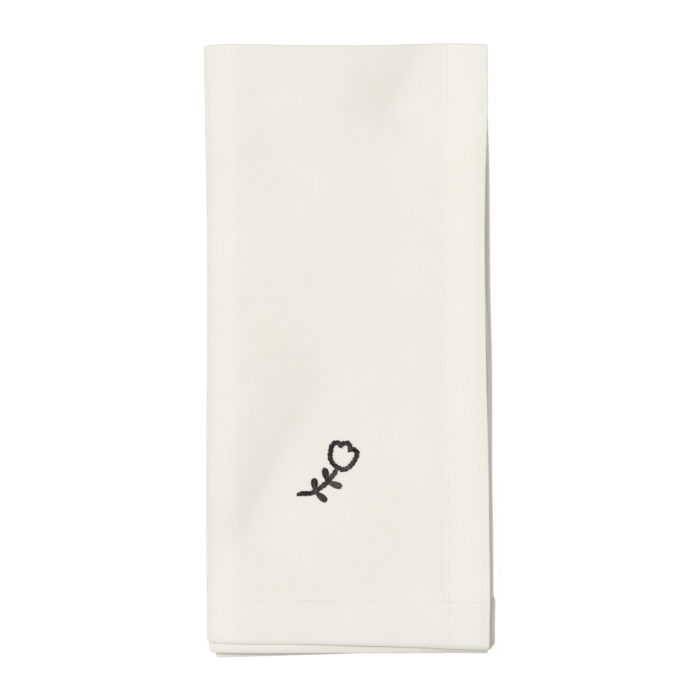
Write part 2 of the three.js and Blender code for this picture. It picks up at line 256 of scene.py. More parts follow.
def across(c, y, back):
    """The middle of a pair of leaves at c along the path across the width: x, the level, the way (nx, nz) to the face
    leaf, the pitch there, and how the leaves' ends go on."""
    c, y, back = np.broadcast_arrays(*(np.asarray(v, float) for v in (c, y, back)))
    left_pitch = pitch(left_fold(y), y)
    right_pitch = pitch(right_fold(y), y) - SAG * SAGS[1][1] / SAGS[1][0] * sag_reach(right_fold(y), y)
    outer_x = left_fold(y) + CLOTH / 2 + 0.5 * left_pitch + FOLD_WIDE[OUTER_LEFT]
    inner_x = outer_x + INNER_FOLD_SETBACK
    right_x = right_fold(y) - CLOTH / 2 - 0.5 * right_pitch - FOLD_WIDE[RIGHT]
    edge = top_leaf_edge(y) - BACK_LEAF_SETBACK * back - EDGE
    upper_edge = upper_leaf_edge(y) - BACK_LEAF_SETBACK * back - EDGE
    width = right_fold(y) - left_fold(y)
    names = ("x", "level", "nx", "nz", "pitch", "short", "face", "rear")
    out = {n: np.zeros_like(c) for n in names}

    def run(panel, x, way):
        p = PANELS[panel]
        t = np.clip((x - left_fold(y)) / width, 0, 1)
        outer = panel in ("top", "bottom")
        low_x = outer_x - FOLD_WIDE[OUTER_LEFT] if outer else inner_x - FOLD_WIDE[INNER_LEFT]
        face = open_end(x) if panel == "top" else mix(*p["face"], t)
        face = face + rounding(x - low_x, *(FACE_CORNER if outer else INNER_CORNER))
        rear = mix(*p["back"], t) + rounding(x - low_x, *(BACK_CORNER if outer else INNER_CORNER))
        if panel in ("top", "upper"):
            face = face + rounding((edge if panel == "top" else upper_edge) + EDGE - x, *CORNER)
        else:
            high_x = right_x + FOLD_WIDE[RIGHT]
            face, rear = face + rounding(high_x - x, *FOLD_CORNER), rear + rounding(high_x - x, *FOLD_CORNER)
        one = np.ones_like(x)
        return dict(
            x=x, level=p["level"] * one, nx=0 * one, nz=way * one, pitch=one, short=p["short"] * one, face=face, rear=rear
        )

    def bend(t, x, first, second, side, way, which, local):
        a, b = PANELS[first]["level"], PANELS[second]["level"]
        n, wide, high = FOLD_SQUARE[which], FOLD_WIDE[which], abs(a - b) / 2
        sx, sz = FOLDS[which](np.clip(t, 0, 1))
        px, pz = sx ** (n - 1) / wide, np.sign(sz) * np.abs(sz) ** (n - 1) / (high * local)
        size = np.hypot(px, pz)
        up = np.sign(a - b)
        at = x + side * wide * sx
        start, end = run(first, at, 1), run(second, at, 1)
        ends = smooth(t, 0.12, 0.46) if which == INNER_LEFT else t
        return dict(
            x=x + side * wide * sx,
            level=(a + b) / 2 + high * up * sz,
            nx=way * side * px / size,
            nz=way * up * pz / size,
            pitch=local,
            short=mix(start["short"], end["short"], t),
            face=mix(start["face"], end["face"], ends),
            rear=mix(start["rear"], end["rear"], ends),
        )

    parts = (
        (-9, 1, lambda t: run("top", edge - t * SIDE_HEM, 1), 0),
        (1, 2, lambda t: run("top", mix(edge - SIDE_HEM, outer_x, t), 1), 1),
        (2, 3, lambda t: bend(t, outer_x, "top", "bottom", -1, 1, OUTER_LEFT, left_pitch), 2),
        (3, 4, lambda t: run("bottom", mix(outer_x, right_x, t), -1), 3),
        (4, 5, lambda t: bend(t, right_x, "bottom", "lower", 1, 1, RIGHT, right_pitch), 4),
        (5, 6, lambda t: run("lower", mix(right_x, inner_x, t), 1), 5),
        (6, 7, lambda t: bend(t, inner_x, "lower", "upper", -1, -1, INNER_LEFT, left_pitch), 6),
        (7, 8, lambda t: run("upper", mix(inner_x, upper_edge - SIDE_HEM, t), -1), 7),
        (8, 99, lambda t: run("upper", upper_edge - SIDE_HEM + t * SIDE_HEM, -1), 8),
    )
    for low, high, make, base in parts:
        here = (c > low) & (c <= high)
        if here.any():
            made = make(c - base)
            for n in names:
                out[n] = np.where(here, made[n], out[n])
    return out


def crease_depth(x, y):
    depth = np.zeros(np.broadcast(x, y).shape)
    for t in TROUGHS:
        (x0, y0), (x1, y1) = t["start"], t["end"]
        dx, dy = x1 - x0, y1 - y0
        length = math.hypot(dx, dy)
        k = ((x - x0) * dx + (y - y0) * dy) / length**2
        gx, gy = x - x0 - k * dx, y - y0 - k * dy
        side = (dx * gy - dy * gx) / length * (1 if dy < 0 else -1)
        reach = np.where(side > 0, t["right"], t["left"])
        away = np.hypot(gx, gy) / reach
        past = np.maximum(np.maximum(-k, k - 1), 0) * length / (0.7 * min(t["left"], t["right"]))
        shape = np.exp(CREASE - np.hypot(np.hypot(away, past) * 1.25, CREASE))
        depth = np.maximum(depth, t["depth"] * shape * np.exp(-0.15 * (away**2 + past**2)))
    return depth


def swelling(x, y):
    """How much the top of the stack stands above its plain height."""
    rise = np.zeros(np.broadcast(x, y).shape)
    for s in SWELLS:
        rise = rise + s["height"] * np.exp(-(((x - s["at"][0]) / s["reach"][0]) ** 2) - ((y - s["at"][1]) / s["reach"][1]) ** 2)
    side, end = top_leaf_edge(y) - x, y - open_end(x)
    rise = rise - ROLL * (1 - smooth(side, -1, 5)) - 0.6 * ROLL * (1 - smooth(end, -1, 5))
    return rise + 0.07 * noise(x, y, 34, 11) + 0.03 * noise(x, y, 13, 12)


FIELD_C, FIELD_R = 92.0, 229.0  # about how long the top leaf's field is, across and along


def hem_share(c, r):
    """1 on a hem, 0 on the plain cloth, for the side and the end."""
    side = 1 - smooth(np.minimum(np.abs(c - 1), 9) * (c > 1) * FIELD_C, TURNING - 0.6, TURNING + 0.6)
    other = 1 - smooth((8 - c) * (c < 8) * FIELD_C, TURNING - 0.6, TURNING + 0.6)
    end = 1 - smooth((r - 1) * (r > 1) * FIELD_R, TURNING - 0.6, TURNING + 0.6)
    back = 1 - smooth((4 - r) * (r < 4) * FIELD_R, TURNING - 0.6, TURNING + 0.6)
    return np.where(c < 4.5, side, other), np.where(r < 2.5, end, back)


def groove(c, r):
    """1 along a row of hem stitches, falling to 0 a millimetre away."""
    side = np.where(c <= 1, (1 - c) * SIDE_HEM, (c - 1) * FIELD_C)
    other = np.where(c >= 8, (c - 8) * SIDE_HEM, (8 - c) * FIELD_C)
    end = np.where(r <= 1, (1 - r) * END_HEM, (r - 1) * FIELD_R)
    back = np.where(r >= 4, (r - 4) * END_HEM, (4 - r) * FIELD_R)
    away = np.minimum(np.minimum(side, other), np.minimum(end, back))
    return np.exp(-((away / 0.55) ** 2))


def half_thickness(c, r):
    """From the middle of the cloth out to its face and to its back."""
    side, end = hem_share(c, r)
    hem = np.maximum(side, end)
    face = mix(CLOTH / 2, HEM_FACE, hem) - 0.018 * groove(c, r)
    back = mix(CLOTH / 2, HEM_BACK, hem) - 0.05 * groove(c, r)
    return face, back


def middle(c, r):
    """The middle of the cloth at (c, r). c runs across as in across(). r runs along: 0 to 1 the face leaf's end hem,
    1 to 2 its field, 2 to 3 the closed end, 3 to 4 the back leaf's field, 4 to 5 its end hem."""
    c, r = np.broadcast_arrays(np.asarray(c, float), np.asarray(r, float))
    back = smooth(r, 2, 3)
    side, end = hem_share(c, r)
    still = across(c, np.zeros_like(c), back)
    x0 = still["x"]
    pair = mix(PAIR, HEM_PAIR, side)
    half_pair = pair * pitch(x0, closed_end(x0)) / 2
    fold = closed_end(x0) - still["short"] - half_pair - CLOTH / 2
    skew = np.where(c <= 2, END_HEM_SKEW * np.clip((x0 + 53) / 110, 0, 1), 0)
    turn = math.pi * np.clip(r - 2, 0, 1)
    face_end, rear_end = still["face"] + EDGE, still["rear"] + EDGE
    y = np.where(
        r <= 1,
        face_end + r * (END_HEM + skew),
        np.where(
            r <= 2,
            mix(face_end + END_HEM + skew, fold, np.clip(r - 1, 0, 1)),
            np.where(
                r <= 3,
                fold + half_pair * np.sin(turn),
                np.where(r <= 4, mix(fold, rear_end + END_HEM, np.clip(r - 3, 0, 1)), rear_end + (5 - r) * END_HEM),
            ),
        ),
    )
    near = 1 - smooth(closed_end(x0) - still["short"] - y, 0.6, PAIR_RUN)
    lift = 0.5 * np.cos(turn) * mix(1.0, pair, near)
    p = across(c, y, back)
    x = p["x"] + lift * p["pitch"] * p["nx"]
    level = p["level"] + lift * p["nz"]
    share = np.clip(level / 7, 0, 1.02)
    z = level * pitch(x, y) - sag(level, x, y)
    turned_down = (1 - smooth(y - rear_end, -0.4, BACK_CURL[1])) * smooth(x, *CURL_RUN) * (r > 3) * (c < 2)
    z = z - BACK_CURL[0] * turned_down
    rim = 1 - smooth(y - np.where(r < 2.5, face_end, rear_end), -EDGE, RIM[1])
    # between other leaves it lies flat
    covered = (r < 1) * (c > 2.5) * smooth(x, -30, 8)
    z = z - RIM[0] * rim * np.clip(level / 2, 0, 1) * ((r < 1) | (r > 4)) * (1 - covered)
    crease = crease_depth(x, y)
    z = z + (swelling(x, y) - crease) * share
    # each leaf lies a little differently from the next
    loose = mix(0.12, 0.025, np.maximum(side, end)) * smooth(level, 0, 1) * (1 - 0.75 * smooth(share, 0.88, 0.98))
    loose = loose * (1 - 0.85 * np.clip(crease / 2.0, 0, 1))
    z = z + loose * mix(0.3, 1.0, smooth(x - left_fold(y), 2, 14)) * noise(c * 90, r * 160, 55, 21)
    face, _ = half_thickness(c, r)
    return np.stack([x, y, z + face], -1)


def on_face(c, r, above=0.0, below=False):
    """Points on the face of the cloth (or its back), and the way out of it there."""
    e = 2e-4
    m = middle(c, r)
    along = middle(c, r + e) - middle(c, r - e)
    over = middle(c + e, r) - middle(c - e, r)
    n = np.cross(along, over)
    n /= np.linalg.norm(n, axis=-1, keepdims=True)
    face, back = half_thickness(*np.broadcast_arrays(np.asarray(c, float), np.asarray(r, float)))
    if below:
        return m - n * (back + above)[..., None], -n
    return m + n * (face + above)[..., None], n


# ---- Where the rows and columns of the mesh run ------------------------------
def steps(a, b, n):
    return list(a + (b - a) * (np.arange(n) + 1) / n)


HEM_MARKS = (0.0, 0.35, 0.9, 1.8, 3.0, 4.4, 6.0, 7.7, 9.4, 11.0, 12.5, 13.8, 14.8, 15.5, 16.0)
PAST_MARKS = (0.3, 0.6, 0.9, 1.25, 1.6, 2.0, 2.6, 3.5)
columns = [d / SIDE_HEM for d in HEM_MARKS] + [1.0 - 0.15 / SIDE_HEM, 1.0, 1.0 + 0.15 / FIELD_C]
columns += [1 + d / FIELD_C for d in PAST_MARKS]
near = [d / FIELD_C for d in (0.35, 0.8, 1.4, 2.2)]
columns += steps(columns[-1], 2 - 3.2 / FIELD_C, 50) + [2 - d for d in reversed(near)] + [2.0]
columns += steps(2, 3, 18) + [3 + d for d in near] + steps(3 + near[-1], 4 - near[-1], 20)
columns += [4 - d for d in reversed(near[:-1])] + [4.0] + steps(4, 5, 12) + [5 + d for d in near]
columns += steps(5 + near[-1], 6 - near[1], 18) + [6 - near[0], 6.0] + steps(6, 7, 11) + [7 + near[0], 7 + near[1]]
columns += steps(7 + near[1], 8 - 3.0 / FIELD_C, 16)
columns += [8 - d / FIELD_C for d in (1.8, 1.2, 0.6)] + [8, 8.04, 8.2, 8.5, 8.75, 8.93, 8.98, 9]
rows = [d / END_HEM for d in HEM_MARKS if d < 16.0] + [1 - 0.5 / END_HEM, 1 - 0.2 / END_HEM, 1, 1 + 0.2 / FIELD_R]
rows += [1 + d / FIELD_R for d in PAST_MARKS]
rows += steps(rows[-1], 2 - 3.0 / FIELD_R, 108) + [2 - 1.2 / FIELD_R, 2] + steps(2, 3, 9)
rows += [3 + 1.2 / FIELD_R, 3 + 3.5 / FIELD_R] + steps(3 + 3.5 / FIELD_R, 4 - 3.0 / FIELD_R, 46)
rows += [4 - d / FIELD_R for d in (1.8, 1.2, 0.6)] + [4, 4.04, 4.2, 4.45, 4.7, 4.88, 4.95, 4.98, 5]
C, R = np.array(columns), np.array(rows)


def build_cloth():
    """The one sheet as a closed mesh, with rounded edges, and its flat place in metres as a UV map."""
    cc, rr = np.meshgrid(C, R, indexing="ij")
    outer, n = on_face(cc, rr)
    inner, _ = on_face(cc, rr, below=True)
    mid = middle(cc, rr)
    u = np.zeros(cc.shape)
    v = np.zeros(cc.shape)
    u[1:] = np.cumsum(np.linalg.norm(np.diff(mid, axis=0), axis=-1), axis=0)
    v[:, 1:] = np.cumsum(np.linalg.norm(np.diff(mid, axis=1), axis=-1), axis=1)
    nc, nr = cc.shape
    points = [outer.reshape(-1, 3), inner.reshape(-1, 3)]
    flat = [np.stack([u, v], -1).reshape(-1, 2)] * 2
    index = np.arange(nc * nr).reshape(nc, nr)
    a, b, d, e = index[:-1, :-1], index[:-1, 1:], index[1:, :-1], index[1:, 1:]
    top = np.stack([a, b, e, d], -1).reshape(-1, 4)
    under = np.stack([a, d, e, b], -1).reshape(-1, 4) + nc * nr
    # the rounded edge, ring by ring, from the face round to the back
    loop = [(0, j) for j in range(nr - 1)] + [(i, nr - 1) for i in range(nc - 1)]
    loop += [(nc - 1, j) for j in range(nr - 1, 0, -1)] + [(i, 0) for i in range(nc - 1, 0, -1)]
    li, lj = np.array(loop).T
    out_c = np.where(li == 0, -1.0, 0) + np.where(li == nc - 1, 1.0, 0)
    out_r = np.where(lj == 0, -1.0, 0) + np.where(lj == nr - 1, 1.0, 0)
    tc = np.gradient(mid, axis=0)[li, lj]
    tr = np.gradient(mid, axis=1)[li, lj]
    tc /= np.linalg.norm(tc, axis=-1, keepdims=True)
    tr /= np.linalg.norm(tr, axis=-1, keepdims=True)
    way = tc * out_c[:, None] + tr * out_r[:, None]
    way /= np.maximum(np.linalg.norm(way, axis=-1, keepdims=True), 1)
    po, pi, nn = outer[li, lj], inner[li, lj], n[li, lj]
    centre, radius = (po + pi) / 2, np.linalg.norm(po - pi, axis=-1)[:, None] / 2
    rings, count = [index[li, lj]], len(loop)
    base = 2 * nc * nr
    around = 4
    for k in range(1, around):
        angle = math.pi * k / around
        points.append(centre + nn * radius * math.cos(angle) + way * EDGE * math.sin(angle))
        flat.append(np.stack([u[li, lj], v[li, lj]], -1) - 0.2 * k * np.stack([np.abs(out_c), np.abs(out_r)], -1))
        rings.append(np.arange(count) + base + (k - 1) * count)
    rings.append(index[li, lj] + nc * nr)
    edge_faces = []
    for first, second in zip(rings, rings[1:]):
        edge_faces.append(np.stack([np.roll(first, -1), first, second, np.roll(second, -1)], -1))
    faces = np.concatenate([top, under, *edge_faces])
    side, end = hem_share(cc, rr)
    plies = side * (1 - end) + 0.2 * end
    # painted shade along the pressed folds and the rims of the end hems, carried in the second channel of the plies map
    painted_edge_shade = smooth(cc, 1.99, 2.15) * (1 - smooth(cc, 2.85, 3.01))
    painted_edge_shade = np.maximum(painted_edge_shade, smooth(rr, 1.997, 2.2) * (1 - smooth(rr, 2.8, 3.003)))
    rims = np.minimum(np.minimum(rr, 5 - rr) * END_HEM, 5)
    painted_edge_shade = np.maximum(painted_edge_shade, RIM_SHADE_SHARE * (1 - smooth(rims, 0.0, 1.5)))
    plies = np.stack([plies, painted_edge_shade], -1)
    plies = np.concatenate([plies.reshape(-1, 2)] * 2 + [plies[li, lj]] * (around - 1))
    return np.concatenate(points), faces, np.concatenate(flat), (u, v), plies


points_mm, faces, flat_mm, (U, V), plies_and_shade = build_cloth()
SHIFT = np.array(
    [
        (FRAME_BOX[0][0] + FRAME_BOX[1][0]) / 2 * 1000 - (points_mm[:, 0].min() + points_mm[:, 0].max()) / 2,
        (FRAME_BOX[0][1] + FRAME_BOX[1][1]) / 2 * 1000 - (points_mm[:, 1].min() + points_mm[:, 1].max()) / 2,
        -points_mm[:, 2].min(),
    ]
)


def add_mesh(name, points, faces, smooth_shading=True):
    """A mesh object from points in millimetres."""
    mesh = bpy.data.meshes.new(name)
    points = (np.asarray(points, float) + SHIFT) / 1000
    sizes = {len(f) for f in faces}
    if len(sizes) == 1:
        k = sizes.pop()
        faces = np.asarray(faces, np.int32)
        mesh.vertices.add(len(points))
        mesh.vertices.foreach_set("co", points.astype(np.float32).ravel())
        mesh.loops.add(faces.size)
        mesh.loops.foreach_set("vertex_index", faces.ravel())
        mesh.polygons.add(len(faces))
        mesh.polygons.foreach_set("loop_start", np.arange(len(faces), dtype=np.int32) * k)
        mesh.update(calc_edges=True)
    else:
        mesh.from_pydata([tuple(p) for p in points], [], [tuple(int(i) for i in f) for f in faces])
    mesh.validate()
    mesh.shade_smooth() if smooth_shading else mesh.shade_flat()
    obj = bpy.data.objects.new(name, mesh)
    bpy.context.scene.collection.objects.link(obj)
    return obj


def add_uv(obj, name, values):
    """A UV map from two values for each point."""
    loops = np.empty(len(obj.data.loops), np.int32)
    obj.data.loops.foreach_get("vertex_index", loops)
    obj.data.uv_layers.new(name=name).data.foreach_set("uv", values[loops].astype(np.float32).ravel())


cloth = add_mesh("napkin_cloth", points_mm, faces)
add_uv(cloth, "Flat", flat_mm / 1000)
add_uv(cloth, "Plies", plies_and_shade)

# =============================================================================
# Thread: strands laid on the cloth
# =============================================================================


def strands(paths, ways, radii, tones, squash=0.8, sides=8):
    """Round threads with rounded ends. paths is (threads, points, 3), ways the way out of the cloth there and tones how
    light each thread is, from 0 to 1."""
    paths, ways, radii = np.asarray(paths, float), np.asarray(ways, float), np.asarray(radii, float)
    n, k, _ = paths.shape
    tangent = np.gradient(paths, axis=1)
    tangent /= np.linalg.norm(tangent, axis=-1, keepdims=True)
    side = np.cross(tangent, ways)
    side /= np.linalg.norm(side, axis=-1, keepdims=True)
    up = np.cross(side, tangent)
    angle = 2 * math.pi * np.arange(sides) / sides
    ring = (
        paths[:, :, None]
        + side[:, :, None] * (np.cos(angle)[None, None, :, None] * radii[:, :, None, None])
        + up[:, :, None] * (np.sin(angle)[None, None, :, None] * radii[:, :, None, None] * squash)
    )
    verts = ring.reshape(n, k * sides, 3)
    tips = np.stack([paths[:, 0] - tangent[:, 0] * radii[:, :1] * 0.6, paths[:, -1] + tangent[:, -1] * radii[:, -1:] * 0.6], 1)
    verts = np.concatenate([verts, tips], 1)
    body = []
    for i in range(k - 1):
        for j in range(sides):
            a, b = i * sides + j, i * sides + (j + 1) % sides
            body.append((a, b, b + sides, a + sides))
    per = k * sides + 2
    caps = []
    for j in range(sides):
        caps.append((k * sides, (j + 1) % sides, j))
        last = (k - 1) * sides
        caps.append((k * sides + 1, last + j, last + (j + 1) % sides))
    quads, tris = np.array(body), np.array(caps)
    offset = (np.arange(n) * per)[:, None, None]
    faces = (quads[None] + offset).reshape(-1, 4), (tris[None] + offset).reshape(-1, 3)
    return verts.reshape(-1, 3), *faces, np.repeat(tones, per)


def join(name, made):
    """One object from several results of strands()."""
    points, tones, all_faces, base = [], [], [], 0
    for verts, quads, tris, tone in made:
        points.append(verts)
        tones.append(tone)
        all_faces += [tuple(q) for q in (quads + base)] + [tuple(t) for t in (tris + base)]
        base += len(verts)
    obj = add_mesh(name, np.concatenate(points), all_faces)
    add_uv(obj, "Tone", np.concatenate(tones)[:, None] * np.ones(2))
    return obj


# ---- Hem stitches ------------------------------------------------------------
HEM_STITCH = 2.7  # from one stitch to the next
HEM_THREAD = 0.14  # radius


def stitch_row(c_of, r_of, length, seed):
    """Short straight stitches along a line on the face of the cloth, given where it is at each distance."""
    count = int(length / HEM_STITCH)
    rng = np.random.default_rng(seed)
    starts = (np.arange(count) + 0.5) * (length / count)
    half = HEM_STITCH * (0.40 + 0.02 * rng.uniform(-1, 1, count))
    t = np.linspace(-1, 1, 6)
    s = starts[:, None] + half[:, None] * t[None]
    raised = 0.12 * np.sqrt(np.clip(1 - np.abs(t) ** 3, 0, 1)) - 0.11
    p, n = on_face(c_of(s), r_of(s))
    p = p + n * raised[None, :, None]
    radii = HEM_THREAD * (1 - 0.35 * np.abs(t) ** 4) * np.ones_like(s)
    return strands(p, n, radii, rng.uniform(0, 1, count), squash=0.75, sides=6)


def places(line, axis, wanted):
    """Turns a distance along a grid line into the grid's own c or r."""
    return lambda s: np.interp(s + wanted, line, axis)


row_one = int(np.argmin(np.abs(R - 1)))
column_one = int(np.argmin(np.abs(C - 1)))
end_line = U[:, row_one]
reach = float(np.interp(5.4, C, end_line)) - 1.5
side_line = V[column_one]
side_reach = float(np.interp(2.9, R, side_line)) - 1.5
hem_rows = [
    stitch_row(places(end_line, C, 1.5), lambda s: np.ones_like(s), reach, 5),
    stitch_row(lambda s: np.ones_like(s), places(side_line, R, 1.5), side_reach, 6),
]
hem_rows = [(np.maximum(verts, [-np.inf, -np.inf, 0.004 - SHIFT[2]]), *rest) for verts, *rest in hem_rows]
hem_stitches = join("hem_stitches", hem_rows)

# ---- Embroidered flower ------------------------------------------------------
# An open cup with three scallops on a curved stem that carries two pairs of leaves.
# Drawn here from a few sizes, in millimetres, on the top leaf.
CUP_AT = np.array([-4.45, -48.85])  # the foot of the cup's middle line
CUP_LEAN = math.radians(-20)
CUP_HALF = (5.45, 5.15)  # on the left and on the right
CUP_LOW = 1.0  # how far beside the middle line its lowest point lies
BOWL = (4.9, 7.6)  # how high it is widest, on the left and on the right
LOBES = (9.7, 11.0, 9.4)  # how high its three scallops reach
LOBE_LEAN = 0.9  # how far the middle one leans over to the right
NOTCHES = ((-2.62, 8.2), (1.15, 8.6))
FLARE = (0.45, 0.0)  # how far the outer scallops stand out past the bowl
STEM_FROM = np.array([-0.6, -0.05])  # where the stem leaves the cup
STEM_START = math.radians(241)  # the way in which the stem leaves the cup
STEM_TURN = math.radians(-36)
STEM_ARC = 15.3
STEM_WAY = math.radians(181)  # and the way of its straight end
STEM_END = 5.8
LEAVES = (  # how far along the stem, the angles to it, and the two lengths
    dict(at=7.1, up=56, down=62, upper=6.1, lower=6.5),
    dict(at=13.5, up=63, down=69, upper=5.5, lower=6.5),
)
LEAF_HALF = 1.40
# a painted highlight: how much lighter the middle strands of the lower leaves are
LEAF_PAINTED_SHEEN = 0.5
LINE_STITCH = 3.0
LINE_STEP = 1.75
LINE_SLANT = 0.58
LINE_GAP = 0.49
STRAND = 0.31


def arc(cx, cy, rx, ry, start, end, n=24):
    a = np.radians(np.linspace(start, end, n))
    return np.stack([cx + rx * np.cos(a), cy + ry * np.sin(a)], -1)


def lean(points):
    c, s = math.cos(CUP_LEAN), math.sin(CUP_LEAN)
    return points @ np.array([[c, s], [-s, c]]) + CUP_AT


def side_of_cup(way, wide_at, top, notch, flare):
    """From the lowest point up one side, over its scallop and down to the notch."""
    wide = CUP_HALF[way > 0]
    brim = way * (wide + flare)
    middle = (brim + notch[0]) / 2
    half = abs(brim - notch[0]) / 2
    spring = max(wide_at, min(top, notch[1]) - 1.2)
    low = arc(CUP_LOW, wide_at, way * wide - CUP_LOW, wide_at, 270, 360, 40)
    over = arc(middle, spring, way * half, top - spring, 0, 180 - math.degrees(math.asin((notch[1] - spring) / (top - spring))), 40)
    return np.concatenate([low, over[1:] if wide_at == spring else over, [notch]])


cup_left = side_of_cup(-1, BOWL[0], LOBES[0], NOTCHES[0], FLARE[0])
cup_right = side_of_cup(1, BOWL[1], LOBES[2], NOTCHES[1], FLARE[1])
cup_sides = np.concatenate([cup_left[:0:-1], cup_right])
(x0, h0), (x1, h1) = NOTCHES
cup_middle = arc((x0 + x1) / 2, (h0 + h1) / 2, (x1 - x0) / 2, LOBES[1] - (h0 + h1) / 2, 184, -4, 40)
cup_middle[:, 0] += LOBE_LEAN * np.sin(np.radians(np.linspace(184, -4, 40))) ** 2
stem_angle = STEM_START + STEM_TURN * np.linspace(0, 1, 40)
stem = np.concatenate([[[0, 0]], np.cumsum(np.stack([np.cos(stem_angle), np.sin(stem_angle)], -1)[:-1] * (STEM_ARC / 39), 0)])
stem_end = np.array([math.cos(STEM_WAY), math.sin(STEM_WAY)])
stem = np.concatenate([stem, stem[-1] + stem_end * np.linspace(0.4, STEM_END, 18)[:, None]]) + CUP_AT + STEM_FROM


def on_top(xy, above):
    """Points on the top leaf over (x, y), and the way out."""
    x, y = xy[..., 0], xy[..., 1]
    # the top leaf's c and r at (x, y), found by a few steps
    edge = top_leaf_edge(y) - EDGE
    outer_x = left_fold(y) + CLOTH / 2 + 0.5 * pitch(left_fold(y), y) + FOLD_WIDE[OUTER_LEFT]
    c = 1 + (edge - SIDE_HEM - x) / (edge - SIDE_HEM - outer_x)
    low = open_end(x) + EDGE + END_HEM + END_HEM_SKEW * np.clip((x + 53) / 110, 0, 1)
    high = closed_end(x) - PAIR * pitch(x, closed_end(x)) / 2 - CLOTH / 2
    r = 1 + (y - low) / (high - low)
    p, n = on_face(c, r)
    return p + n * above[..., None], n


def walk(line, s):
    """Points at distances s along a polyline, and the way across it there."""
    gap_shade = np.linalg.norm(np.diff(line, axis=0), axis=-1)
    at = np.concatenate([[0], np.cumsum(gap_shade)])
    p = np.stack([np.interp(s, at, line[:, 0]), np.interp(s, at, line[:, 1])], -1)
    e = 0.15
    ahead = np.stack([np.interp(s + e, at, line[:, 0]), np.interp(s + e, at, line[:, 1])], -1)
    behind = np.stack([np.interp(s - e, at, line[:, 0]), np.interp(s - e, at, line[:, 1])], -1)
    d = ahead - behind
    d /= np.maximum(np.linalg.norm(d, axis=-1, keepdims=True), 1e-9)
    return p, np.stack([-d[..., 1], d[..., 0]], -1), at[-1]


def stem_stitches(line, seed):
    """A corded line: slanting stitches, each of three strands, that overlap along it."""
    _, _, length = walk(line, np.zeros(1))
    count = max(2, int(round((length - LINE_STITCH * 0.55) / LINE_STEP)) + 1)
    centres = np.linspace(LINE_STITCH * 0.42, length - LINE_STITCH * 0.42, count)
    rng = np.random.default_rng(seed)
    t = np.linspace(-1, 1, 9)
    made = []
    for i, s0 in enumerate(centres):
        wobble = rng.uniform(-1, 1, 4)
        for k in (-1, 0, 1):
            s = s0 + t * (LINE_STITCH / 2 + 0.08 * wobble[k + 1])
            p, across_line, _ = walk(line, np.clip(s, 0, length))
            shift = LINE_SLANT * t + LINE_GAP * k * (1 - 0.25 * t**2) + 0.05 * wobble[3]
            xy = p + across_line * shift[:, None]
            above = 0.02 + 0.34 * np.sqrt(np.clip(1 - t**4, 0, 1)) * (1 - 0.18 * abs(k)) - 0.16 * (np.abs(t) > 0.99)
            q, n = on_top(xy, above)
            tone = rng.uniform(0, 1, 1)
            made.append(strands(q[None], n[None], (STRAND * (1 - 0.3 * t**6))[None], tone, squash=0.85, sides=7))
    return made


def leaf(base, angle, length, shine, seed):
    """Long stitches side by side from the leaf's foot to its blunt tip, the middle ones lighter by shine, a painted
    highlight.
    """
    rng = np.random.default_rng(seed)
    way = np.array([math.cos(angle), math.sin(angle)])
    out = np.array([-way[1], way[0]])
    t = np.linspace(0, 1, 14)
    made = []
    for k in np.linspace(-1, 1, 5):
        s = 0.35 + (length - 0.35 - 0.45 * abs(k) ** 2 + 0.12 * rng.uniform(-1, 1)) * t
        spread = LEAF_HALF * 0.82 * k * (0.30 + 0.70 * smooth(t, 0.0, 0.58)) * (1 - 0.22 * smooth(t, 0.75, 1.0))
        xy = base + way * s[:, None] + out * spread[:, None]
        above = 0.03 + 0.36 * np.sqrt(np.clip(1 - (2 * t - 1) ** 4, 0, 1)) * (1 - 0.35 * abs(k))
        q, n = on_top(xy, above)
        # painted highlight: the middle strands get a lighter tone by shine
        tone = rng.uniform(0, 0.7, 1) + shine * (1 - k**2)
        made.append(strands(q[None], n[None], (0.28 * (1 - 0.35 * (2 * t - 1) ** 6))[None], tone, squash=0.85, sides=7))
    return made


flower = []
for number, line in enumerate((lean(cup_sides), lean(cup_middle), stem)):
    flower += stem_stitches(line, 40 + number)
for number, pair in enumerate(LEAVES):
    foot, _, _ = walk(stem, np.array([pair["at"]]))
    turned = STEM_START + STEM_TURN * min(1, pair["at"] / STEM_ARC) + math.pi
    flower += leaf(foot[0], turned + math.radians(pair["up"]), pair["upper"], 0.0, 60 + 2 * number)
    flower += leaf(foot[0], turned - math.radians(pair["down"]), pair["lower"], LEAF_PAINTED_SHEEN, 61 + 2 * number)
embroidery = join("embroidered_flower", flower)


